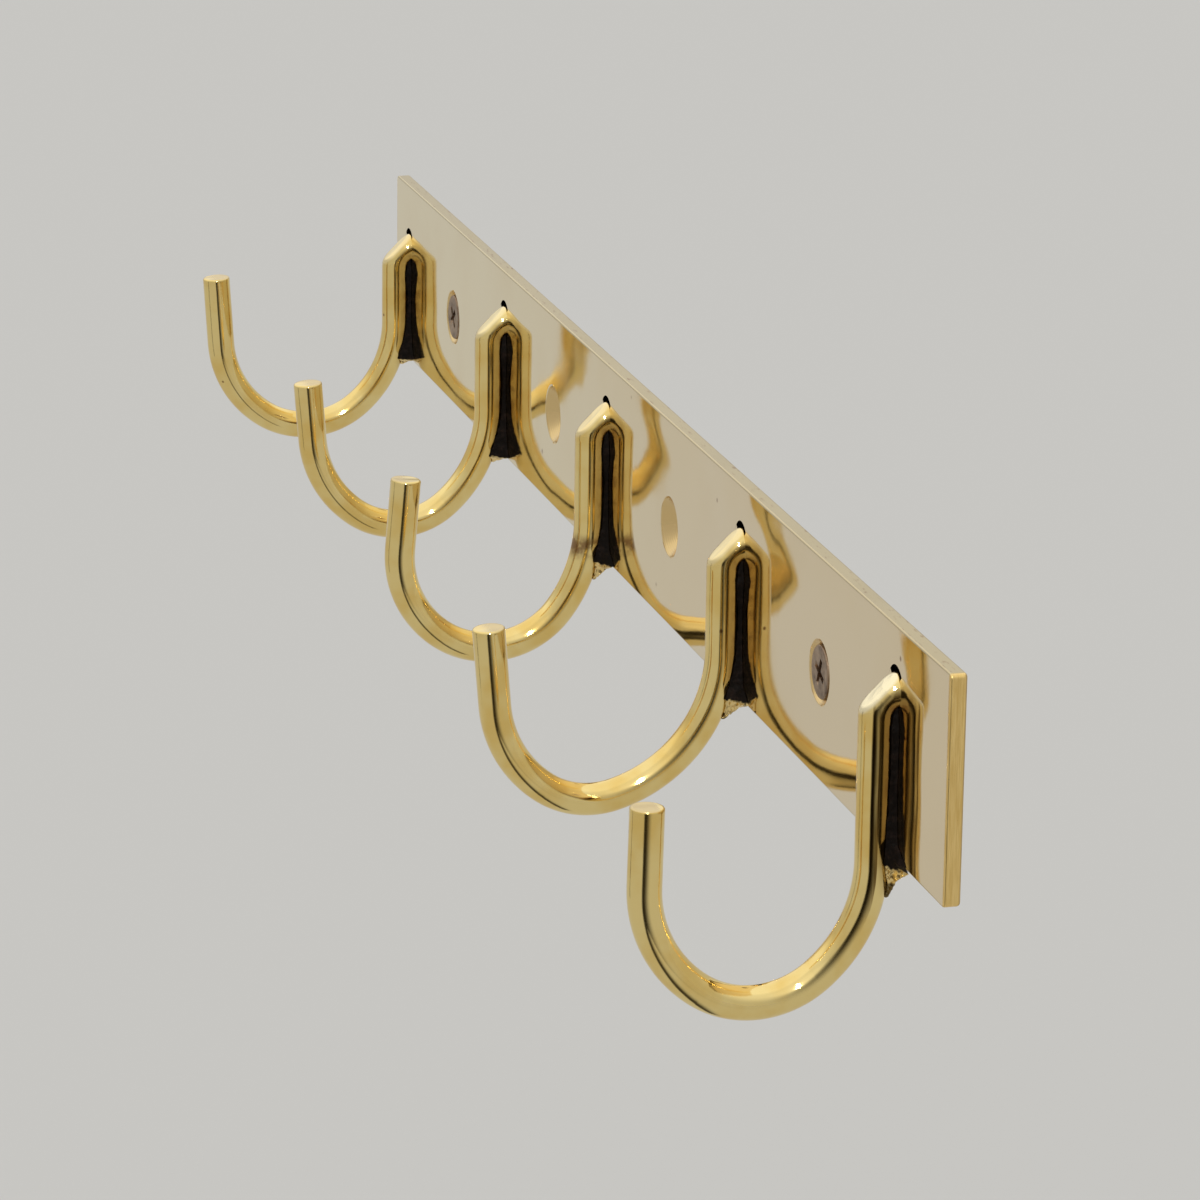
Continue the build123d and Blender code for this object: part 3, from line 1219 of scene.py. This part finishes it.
class Lobe(Enum):
    """The bright patches of the room that the polish mirrors."""

    TENT = Patch(180.0, 62.0, 42.0, 58.0, 1.09)
    WINDOW = Patch(-20.0, 44.0, 10.0, 26.0, 1.0)


@dataclass
class Studio:
    """Floor, soft room light, dark flag, sparkle lamp and camera."""

    floor_drop: float = 0.25
    floor_reach: float = 6.0
    room_tone: Colour = (1.0, 0.995, 0.97)
    seen_tone: Colour = (0.571, 0.565, 0.539)
    zenith: float = 0.93
    horizon: float = 0.60
    sky_band: Pair = (0.25, 0.85)
    flag_from: float = -114.0
    flag_to: float = 12.0
    flag_steps: int = 42
    flag_distance: float = 0.62
    flag_top: float = 0.30
    apron_inner: float = 0.08
    apron_lift: float = 0.02
    lamp_towards: Triple = (0.845, -0.196, 0.497)
    lamp_distance: float = 1.1
    lamp_long: Triple = (-0.535, -0.408, 0.735)
    lamp_size: Pair = (0.36, 0.03)
    lamp_power: float = 3.2
    focal_px: float = 5437.95
    image_px: float = 1200.0
    sensor: float = 36.0
    clip_start: float = 0.01
    camera_at: Triple = (0.993443, -0.276079, 0.275720)
    yaw: float = 15.122
    pitch: float = 16.247
    roll: float = -0.738

    def build(self) -> None:
        """Make the whole studio."""
        floor_z = CAD_BOX[0].z - self.floor_drop
        self._floor(floor_z)
        self._room()
        self._flag(floor_z + self.apron_lift)
        self._lamp()
        self._camera()
        bpy.context.scene.view_settings.view_transform = "Standard"
        LOG.info("studio built, floor at %.4f m", floor_z)

    def _floor(self, z: float) -> None:
        """Lay a wide pale paper floor below the rack.

        Args:
            z: Its height.
        """
        r = self.floor_reach
        mesh = bpy.data.meshes.new("floor")
        mesh.from_pydata([(-r, -r, z), (r, -r, z), (r, r, z), (-r, r, z)], [], [(0, 1, 2, 3)])
        floor = new_object("floor", mesh)
        wear(floor, FloorPaper().material())

    def _flag(self, low: float) -> None:
        """Hang a dark cloth near the camera, seen only in the polish.

        Args:
            low: Height of its apron.
        """
        rows = ((self.apron_inner, low), (self.flag_distance, low), (self.flag_distance, self.flag_top))
        corners = []
        for k in range(self.flag_steps + 1):
            a = math.radians(self.flag_from + (self.flag_to - self.flag_from) * k / self.flag_steps)
            corners += [(r * math.cos(a), r * math.sin(a), z) for r, z in rows]
        count = len(rows)
        faces = []
        for k in range(self.flag_steps):
            for at in range(count * k, count * k + count - 1):
                faces.append((at, at + count, at + count + 1, at + 1))
        mesh = bpy.data.meshes.new("dark_flag")
        mesh.from_pydata(corners, [], faces)
        cloth = new_object("dark_flag", mesh)
        wear(cloth, DarkCloth().material())
        for ray in ("camera", "diffuse", "shadow", "transmission", "volume_scatter"):
            setattr(cloth, f"visible_{ray}", False)

    def _room(self) -> None:
        """Soft pale light from all round, brightest overhead."""
        world = bpy.data.worlds.new("room")
        bpy.context.scene.world = world
        t = Tree(world)
        towards = t.node("TexCoord", None, None, "Generated")
        _, _, up = t.split(towards)
        level = self.horizon + (self.zenith - self.horizon) * t.step(up, *self.sky_band)
        for lobe in Lobe:
            near = t.vector("DOT_PRODUCT", towards, lobe.value.axis)
            level = level + (lobe.value.level - level) * t.step(near, *lobe.value.cosines)
        grey = t.node("CombineColor", None, {0: level, 1: level, 2: level})
        light = t.mix(1.0, self.room_tone, grey, "MULTIPLY")
        seen = t.node("LightPath", None, None, "Is Camera Ray")
        colour = t.mix(seen, light, self.seen_tone)
        shader = t.node("Background", None, {"Color": colour, "Strength": 1.0})
        t.node("OutputWorld", None, {"Surface": shader})

    def _lamp(self) -> None:
        """A slim strip above the camera that puts a sparkle on each hook's curve."""
        data = bpy.data.lights.new("sparkle_strip", "AREA")
        data.shape = "RECTANGLE"
        data.size, data.size_y = self.lamp_size
        data.energy = self.lamp_power
        strip = bpy.data.objects.new("sparkle_strip", data)
        bpy.context.scene.collection.objects.link(strip)
        back = Vector(self.lamp_towards).normalized()
        along = Vector(self.lamp_long)
        along = (along - back * along.dot(back)).normalized()
        across = back.cross(along)
        turn = Matrix((along, across, back)).transposed().to_4x4()
        strip.matrix_world = Matrix.Translation(back * self.lamp_distance) @ turn
        strip.visible_diffuse = False
        strip.visible_camera = False

    def _camera(self) -> None:
        """The photograph's own view."""
        yaw, pitch, roll = (math.radians(v) for v in (self.yaw, self.pitch, self.roll))
        level = math.cos(pitch)
        ahead = Vector((-level * math.cos(yaw), level * math.sin(yaw), -math.sin(pitch)))
        right = ahead.cross(Vector((0.0, 0.0, 1.0))).normalized()
        down = ahead.cross(right)
        across = right * math.cos(roll) + down * math.sin(roll)
        below = down * math.cos(roll) - right * math.sin(roll)
        data = bpy.data.cameras.new("camera")
        data.sensor_fit = "HORIZONTAL"
        data.sensor_width = self.sensor
        data.lens = self.sensor * self.focal_px / self.image_px
        data.clip_start = self.clip_start
        camera = bpy.data.objects.new("camera", data)
        bpy.context.scene.collection.objects.link(camera)
        turn = Matrix((across, -below, -ahead)).transposed().to_4x4()
        camera.matrix_world = Matrix.Translation(Vector(self.camera_at)) @ turn
        bpy.context.scene.camera = camera


def main() -> None:
    """Build the studio, then dress and build every piece of the rack."""
    logging.basicConfig(level=logging.INFO, format="%(name)s: %(message)s")
    Studio().build()
    hooks = [
        # Hook 1 carries the painted dark reflection streak, stronger painted shade and a painted highlight
        # on its filed flat.
        Hook(1, crumple=0.14 * MM, tint_and_shade=0.75, dark_reflection=0.92, bow_low=0.042, bow_top=0.049, filed=0.85),
        Hook(2, bow_low=0.008, bow_top=0.032),
        Hook(3, ring_z=-16.5 * MM, ring_strength=0.85, bow_low=0.018, bow_top=0.036),
        Hook(4, bow_low=0.006, bow_top=0.016),
        Hook(5),
    ]
    rod = RodBrass()
    for hook in hooks:
        hook.dress(rod)
    plate = BackPlate(hooks)
    polish = BarBrass().material(plate)
    plate.dress(polish)
    for hook in hooks:
        fill = FlushFill(hook)
        fill.dress(fill.build(), polish)
    crust = BrazeCrust()
    seams = [
        BrazeSeam(1, lip_z=-21.2 * MM, ledge=2.5 * MM),
        BrazeSeam(2),
        BrazeSeam(3, lip_z=-19.8 * MM),
        BrazeSeam(4),
        BrazeSeam(5),
    ]
    for seam in seams:
        seam.dress(seam.build(), crust)
    steel = ScrewSteel()
    for number in (1, 2):
        screw = WallScrew(number)
        screw.dress(screw.build(), steel)


if __name__ == "__main__":
    main()
